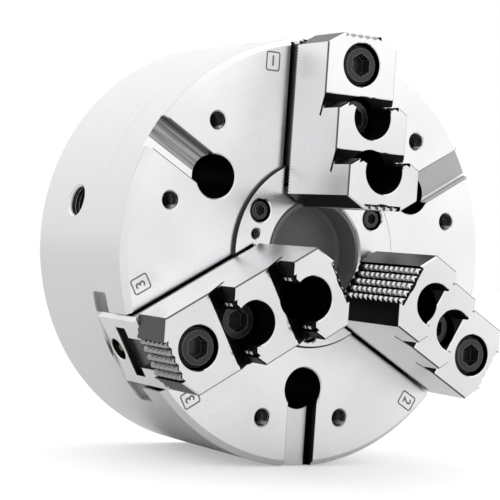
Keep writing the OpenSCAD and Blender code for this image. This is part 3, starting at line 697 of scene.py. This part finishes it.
# %% Tooth tree
def tooth_tree():
    tree, given, result = open_group(
        "grip_teeth",
        [("Columns", "Int", 5), ("Rows", "Int", 11), ("Column pitch", "Float", 4.12),
         ("Row pitch", "Float", 5.0), ("Width", "Float", 4.12), ("Length", "Float", 4.5),
         ("Height", "Float", 2.0), ("Flat", "Float", 0.12)],
        [("Geometry", "Geometry")], "GeometryNodeTree")
    wide = calc(tree, "MULTIPLY", calc(tree, "SUBTRACT", given["Columns"], 1), given["Column pitch"])
    long = calc(tree, "MULTIPLY", calc(tree, "SUBTRACT", given["Rows"], 1), given["Row pitch"])
    grid = add(tree, "GeometryNodeMeshGrid", {
        "Size X": wide, "Size Y": long, "Vertices X": given["Columns"], "Vertices Y": given["Rows"]})
    half_diagonal = math.sqrt(0.5)
    cone = add(tree, "GeometryNodeMeshCone", {
        "Vertices": 4, "Radius Top": calc(tree, "MULTIPLY", given["Flat"], half_diagonal),
        "Radius Bottom": half_diagonal, "Depth": given["Height"]})
    square = add(tree, "GeometryNodeTransform", {
        "Geometry": cone.outputs["Mesh"], "Rotation": (0.0, 0.0, math.radians(45))})
    size = add(tree, "ShaderNodeCombineXYZ", {0: given["Width"], 1: given["Length"], 2: 1.0})
    sized = add(tree, "GeometryNodeTransform", {"Geometry": square.outputs[0], "Scale": size.outputs[0]})
    spread = add(tree, "GeometryNodeInstanceOnPoints", {
        "Points": grid.outputs["Mesh"], "Instance": sized.outputs[0]})
    set_finish(tree, spread.outputs[0], tooth_steel[1], result)
    return tree


TEETH = tooth_tree()

# %% Teeth on the tip, the outer end and the step walls
TOOTH_PITCH = 2 * TIP_HALF / 5
ROW_PITCH = 4.1
FRONT = Matrix(((0, 0, 1, 0), (1, 0, 0, 0), (0, 1, 0, 0), (0, 0, 0, 1)))
BACK = Matrix(((0, 0, -1, 0), (-1, 0, 0, 0), (0, 1, 0, 0), (0, 0, 0, 1)))
SINK = 0.15
TIP_FOOT = 3.4


def patch(x, facing, low, high, columns=5, column_pitch=TOOTH_PITCH):
    """Teeth on a jaw face at x, from height low to high; their tops end at the face."""
    rows = int((high - low) / ROW_PITCH)
    mesh = grow(TEETH, {
        "Columns": columns, "Rows": rows, "Column pitch": column_pitch, "Row pitch": ROW_PITCH,
        "Width": TOOTH_PITCH * 0.84, "Length": ROW_PITCH * 1.1, "Height": CUT_DEPTH + SINK,
        "Flat": 0.4})
    foot = x - facing * (CUT_DEPTH + SINK)
    turn = FRONT if facing > 0 else BACK
    return mesh, at(foot, 0, (low + high) / 2) @ turn


for n, clock in CLOCK.items():
    spread = [
        patch(JAW_IN, -1, JOINT + TIP_FOOT, STEPS[2] - 0.5),
        patch(JAW_OUT, 1, JOINT, STEPS[0] - 0.8)]
    for wall, foot, top in ((WALLS[0], STEPS[0], STEPS[1]), (WALLS[1], STEPS[1], STEPS[2])):
        spread.append(patch(wall, 1, foot - 0.5, top - 0.5, 2, 6 * TOOTH_PITCH))
    teeth = join(f"grip_teeth_{n}", [(m, chuck_place(clock) @ p) for m, p in spread], tooth_steel[n])
    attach(teeth, f"jaw_{n}")

# %% [markdown]
# ## Threads
#
# The face holes, the jacking holes, the lifting hole and the draw nut are tapped. A thread is
# a ridge that climbs round the bore. It could be cut as a groove, but a spiral curve with a
# three-sided profile swept along it lies on the bore just as well and costs few faces.

# %% Thread finish
pair = MOUNTS["face_stop_holes"]
pair_rise = -pair["pos_m"][2] / MM
pair_half = pair["dims"]["spacing_x_mm"] / 2
TAP_R = round(math.hypot(pair_rise, pair_half), 1)
TAP_TURN = round(math.degrees(math.atan2(pair_half, pair_rise)), 1)
TAP_BORE_R = pair["dims"]["hole_r_mm"]


def thread_zones(spot):
    """Light catches a short stretch low in each tapped hole of the face."""
    tree = spot.tree
    lit = []
    for clock in BOLT_CLOCK:
        for side in (-1, 1):
            turn = math.radians(clock + side * TAP_TURN)
            x, y = TAP_R * math.cos(turn), TAP_R * math.sin(turn)
            lit.append(both(
                tree, between(tree, spot.x, x - 1.5, x + 5.0), between(tree, spot.y, y - 3.5, y - 2.0)))
    near_mouth = calc(tree, "GREATER_THAN", spot.z, FACE - 9.0)
    return [(both(tree, either(tree, *lit), near_mouth), 1.0, 0.4, 1.0)]


# The threads are painted near black as shade inside their holes, with a painted highlight low in each face
# hole.
thread_steel = finish("thread_steel_painted_dark_as_shade", 0.06, 0.02, 0.35, lines=5.0, zones=thread_zones)


# %% Thread tree
def thread_tree():
    tree, given, result = open_group(
        "tapped_thread",
        [("Radius", "Float", 4.25), ("Pitch", "Float", 1.5), ("Length", "Float", 18.0),
         ("Ridge", "Float", 0.4)],
        [("Geometry", "Geometry")], "GeometryNodeTree")
    turns = calc(tree, "DIVIDE", given["Length"], given["Pitch"])
    spiral = add(tree, "GeometryNodeCurveSpiral", {
        "Resolution": 24, "Rotations": turns, "Start Radius": given["Radius"],
        "End Radius": given["Radius"], "Height": given["Length"]})
    profile = add(tree, "GeometryNodeCurvePrimitiveCircle", {"Resolution": 3, "Radius": given["Ridge"]})
    swept = add(tree, "GeometryNodeCurveToMesh", {
        "Curve": spiral.outputs[0], "Profile Curve": profile.outputs[0], "Fill Caps": True})
    set_finish(tree, swept.outputs[0], thread_steel, result)
    return tree


THREAD = thread_tree()

# %% Threads in the body, the bush and the draw nut
TAP_DEPTH = 18.0
JACK_DEPTH = 12.0
JACK_TURN = 17.5
LIFT_DEPTH = 21.5


def thread(radius, pitch, length):
    """A thread that lies on a bore."""
    return grow(THREAD, {"Radius": radius, "Pitch": pitch, "Length": length, "Ridge": pitch * 0.35})


jack = MOUNTS["bush_jack_holes"]["dims"]
face_thread = thread(TAP_BORE_R, 1.5, TAP_DEPTH - 1)
jack_thread = thread(jack["hole_r_mm"], 1.0, JACK_DEPTH - 1)
body_threads = []
for clock in BOLT_CLOCK:
    for side in (-1, 1):
        body_threads.append((
            face_thread, chuck_place(clock + side * TAP_TURN) @ at(TAP_R, 0, FACE - TAP_DEPTH)))
    jack_place = at(jack["pcd_mm"] / 2, 0, FLANGE_TOP - JACK_DEPTH)
    body_threads.append((jack_thread, chuck_place(clock + JACK_TURN) @ jack_place))
lift = MOUNTS["lifting_hole"]
lift_clock = math.degrees(math.atan2(lift["axis"][2], lift["axis"][0]))
lift_height = -lift["pos_m"][1] / MM
lift_thread = thread(lift["dims"]["r_mm"], 2.0, LIFT_DEPTH - 2.5)
lift_place = at(BODY_R - LIFT_DEPTH, 0, lift_height, (90, "Y"))
body_threads.append((lift_thread, chuck_place(lift_clock) @ lift_place))
tapped = join("tapped_threads", body_threads, thread_steel)
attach(tapped, "body")

nut = MOUNTS["draw_nut_thread"]
nut_middle = -nut["pos_m"][1] / MM
nut_thread = thread(nut["dims"]["r_mm"], 2.0, 12.0)
nut_piece = join("draw_nut_thread", [(nut_thread, chuck_place() @ at(0, 0, nut_middle - 6.5))], nut_steel)
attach(nut_piece, "nut")

# %% [markdown]
# ## Knurled screw heads
#
# Socket screw heads are knurled so that oily fingers can start them. The ridges are straight
# and evenly spaced round the head. A ring of points with a thin four-sided bar on each, turned
# to face outwards, gives a true outline where a bump map would leave a smooth edge.

# %% Knurl tree
def knurl_tree():
    tree, given, result = open_group(
        "screw_knurl",
        [("Count", "Int", 48), ("Radius", "Float", 9.0), ("Length", "Float", 9.0), ("Rib", "Float", 0.35)],
        [("Geometry", "Geometry")], "GeometryNodeTree")
    ring = add(tree, "GeometryNodeMeshCircle", {"Vertices": given["Count"], "Radius": given["Radius"]})
    bar = add(tree, "GeometryNodeMeshCylinder", {
        "Vertices": 4, "Radius": given["Rib"], "Depth": given["Length"]})
    place = add(tree, "GeometryNodeInputPosition")
    outward = add(tree, "FunctionNodeAlignRotationToVector", {"Vector": place.outputs[0]}, axis="X")
    spread = add(tree, "GeometryNodeInstanceOnPoints", {
        "Points": ring.outputs[0], "Instance": bar.outputs["Mesh"], "Rotation": outward.outputs[0]})
    set_finish(tree, spread.outputs[0], blackened, result)
    return tree


KNURL = knurl_tree()

# %% Knurls on the jaw screws and the bush screws
JAW_KNURL_DROP = 6.5
BUSH_KNURL_DROP = 3.2
BUSH_SCREW_R = 38.0
jaw_knurl = grow(KNURL, {"Count": 48, "Radius": HEAD_R, "Length": 8.5, "Rib": 0.35})
for n, clock in CLOCK.items():
    heads = [(jaw_knurl, chuck_place(clock) @ at(x, 0, top - JAW_KNURL_DROP))
             for x, top in zip(SCREW_X, HEAD_TOPS)]
    knurls = join(f"jaw_screw_knurls_{n}", heads, blackened)
    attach(knurls, f"jaw_{n}")

bush_knurl_place = at(BUSH_SCREW_R, 0, reach("bush_screws", 1, -1) - BUSH_KNURL_DROP)
bush_knurl = grow(KNURL, {"Count": 32, "Radius": 4.5, "Length": 4.2, "Rib": 0.22})
heads = [(bush_knurl, chuck_place(clock) @ bush_knurl_place) for clock in BOLT_CLOCK]
knurls = join("bush_screw_knurls", heads, blackened)
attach(knurls, "body")

# %% [markdown]
# ## Jaw numbers
#
# Base jaws are fitted to their own slots, so each slot carries its number in a small frame,
# rolled into the face and filled dark. The frames are swept rounded squares. The digits are
# turned from text to a mesh before they are placed, because only a mesh can be baked.

# %% Frames and digits
mark_fill = finish("dark_mark_fill", 0.2, 0.12, 0.5, metallic=0.0, wear=0.0, cloud_size=6.0)
MARK_WIDTH = 7.2
MARK_HEIGHT = 8.8
MARK_R = 96.0
MARK_TURN = 18.5
MARK_PROUD = 0.03
DIGIT_WEIGHT = 0.12


def frame_tree():
    tree, given, result = open_group(
        "mark_frame",
        [("Width", "Float", 7.2), ("Height", "Float", 8.8), ("Corner", "Float", 1.0),
         ("Line", "Float", 0.7), ("Thickness", "Float", 0.06)],
        [("Geometry", "Geometry")], "GeometryNodeTree")
    outline = add(tree, "GeometryNodeCurvePrimitiveQuadrilateral", {
        "Width": given["Width"], "Height": given["Height"]})
    rounded = add(tree, "GeometryNodeFilletCurve", {
        "Curve": outline.outputs[0], "Radius": given["Corner"], "Count": 5}, mode="POLY")
    profile = add(tree, "GeometryNodeCurvePrimitiveQuadrilateral", {
        "Width": given["Line"], "Height": given["Thickness"]})
    swept = add(tree, "GeometryNodeCurveToMesh", {
        "Curve": rounded.outputs[0], "Profile Curve": profile.outputs[0]})
    set_finish(tree, swept.outputs[0], mark_fill, result)
    return tree


def digit(number):
    """A flat digit as a mesh, centred on the origin."""
    text = bpy.data.curves.new("digit", "FONT")
    text.body = str(number)
    text.size = MARK_HEIGHT * 0.8
    text.offset = DIGIT_WEIGHT
    text.extrude = MARK_PROUD
    text.align_x = "CENTER"
    text.align_y = "CENTER"
    host = bpy.data.objects.new("digit", text)
    bpy.context.scene.collection.objects.link(host)
    graph = bpy.context.evaluated_depsgraph_get()
    mesh = bpy.data.meshes.new_from_object(host.evaluated_get(graph), depsgraph=graph)
    bpy.data.objects.remove(host)
    return mesh


mark_outline = grow(frame_tree(), {"Width": MARK_WIDTH, "Height": MARK_HEIGHT})
marks = []
for n, clock in CLOCK.items():
    figure = digit(n)
    for side in (-1, 1):
        around = math.radians(clock + side * MARK_TURN)
        spot = at(MARK_R * math.cos(around), MARK_R * math.sin(around), FACE, (clock - 90, "Z"))
        marks += [(mark_outline, chuck_place() @ spot), (figure, chuck_place() @ spot)]
numbers = join("jaw_number_marks", marks, mark_fill)
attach(numbers, "body")

# %% [markdown]
# ## Studio
#
# Polished steel shows its surroundings more than its own colour. A room that is bright above
# and to the right, and a little darker low on the left, gives each face its own tone. One
# hard lamp would leave the rest of the steel black, so two softboxes do its work: their glow
# shows in the face and in the jaw tops, with a soft edge. The camera sees plain white behind
# the chuck, and a pale floor catches one soft shadow.

# %% World
KEY_SIDE = Vector((0.5, 0.45, 0.74)).normalized()
DIM_SIDE_GLOW, KEY_SIDE_GLOW = 0.9, 1.16


def studio_world():
    """A white room, brighter on its key side; the camera sees it plain white."""
    world = bpy.data.worlds.new("studio")
    bpy.context.scene.world = world
    world.use_nodes = True
    tree = world.node_tree
    tree.nodes.clear()
    heading = add(tree, "ShaderNodeTexCoord").outputs["Generated"]
    facing = add(tree, "ShaderNodeVectorMath", {0: heading, 1: KEY_SIDE}, operation="DOT_PRODUCT")
    tone = add(tree, "ShaderNodeMapRange", {
        "Value": facing.outputs["Value"], "From Min": 0.0, "From Max": 0.85,
        "To Min": DIM_SIDE_GLOW, "To Max": KEY_SIDE_GLOW})
    camera_ray = add(tree, "ShaderNodeLightPath").outputs["Is Camera Ray"]
    strength = mix_value(tree, camera_ray, tone.outputs[0], 1.0)
    light = add(tree, "ShaderNodeBackground", {"Color": (1.0, 1.0, 1.0, 1.0), "Strength": strength})
    output = tree.nodes.new("ShaderNodeOutputWorld")
    tree.links.new(light.outputs[0], output.inputs[0])


studio_world()


# %% Floor
FLOOR_TONE = 0.74
FLOOR_GLOW = 0.38


def pale_floor(size=6.0):
    """A plain floor just under the body; a faint glow for the camera keeps it near white."""
    floor = bpy.data.meshes.new("floor")
    half = size / 2
    level = cad_box[0][2] - 0.0002
    corners = [(-half, -half, level), (half, -half, level), (half, half, level), (-half, half, level)]
    floor.from_pydata(corners, [], [(0, 1, 2, 3)])
    material = bpy.data.materials.new("pale_floor")
    material.use_nodes = True
    tree = material.node_tree
    shader = tree.nodes["Principled BSDF"]
    paper = add(tree, "ShaderNodeTexNoise", {"Scale": 900.0, "Detail": 2.0})
    bump = add(tree, "ShaderNodeBump", {"Height": paper.outputs[0], "Strength": 0.05, "Distance": 0.0002})
    tree.links.new(bump.outputs[0], shader.inputs["Normal"])
    shader.inputs["Base Color"].default_value = (FLOOR_TONE, FLOOR_TONE, FLOOR_TONE, 1.0)
    shader.inputs["Roughness"].default_value = 0.9
    shader.inputs["Emission Color"].default_value = (1.0, 1.0, 1.0, 1.0)
    seen = add(tree, "ShaderNodeLightPath").outputs["Is Camera Ray"]
    tree.links.new(calc(tree, "MULTIPLY", seen, FLOOR_GLOW), shader.inputs["Emission Strength"])
    floor.materials.append(material)
    piece = bpy.data.objects.new("floor", floor)
    bpy.context.scene.collection.objects.link(piece)


pale_floor()


# %% Softboxes and camera
def aim(place, target):
    """Rotation of a light at a place that shines at a target."""
    return (Vector(target) - Vector(place)).to_track_quat("-Z", "Y").to_euler()


def softbox(name, place, width, height, glow):
    """A rectangular light whose surface is as bright as a white world of that strength."""
    light = bpy.data.lights.new(name, "AREA")
    light.shape = "RECTANGLE"
    light.size = width
    light.size_y = height
    light.energy = glow * math.pi * width * height
    lamp = bpy.data.objects.new(name, light)
    lamp.location = place
    lamp.rotation_euler = aim(place, (0.0, -0.06, 0.0))
    bpy.context.scene.collection.objects.link(lamp)


softbox("top_softbox", (0.55, -0.95, 0.5), 1.3, 0.75, 0.2)
softbox("side_softbox", (1.08, -0.95, 0.05), 0.5, 0.5, 0.26)

CAMERA_PLACE = (-0.46392, -0.78266, 0.00571)
AZIMUTH, ELEVATION, ROLL = -31.73, 0.42, 3.91
camera = bpy.data.cameras.new("camera")
camera.lens = 122.2
camera.sensor_width = 36.0
camera.clip_start = 0.01
viewer = bpy.data.objects.new("camera", camera)
viewer.matrix_world = (
    Matrix.Translation(CAMERA_PLACE)
    @ Matrix.Rotation(math.radians(AZIMUTH), 4, "Z")
    @ Matrix.Rotation(math.radians(90 - ELEVATION), 4, "X")
    @ Matrix.Rotation(math.radians(ROLL), 4, "Z"))
bpy.context.scene.collection.objects.link(viewer)
bpy.context.scene.camera = viewer
bpy.context.scene.view_settings.view_transform = "Standard"
print("camera at", [round(v, 3) for v in viewer.matrix_world.translation])
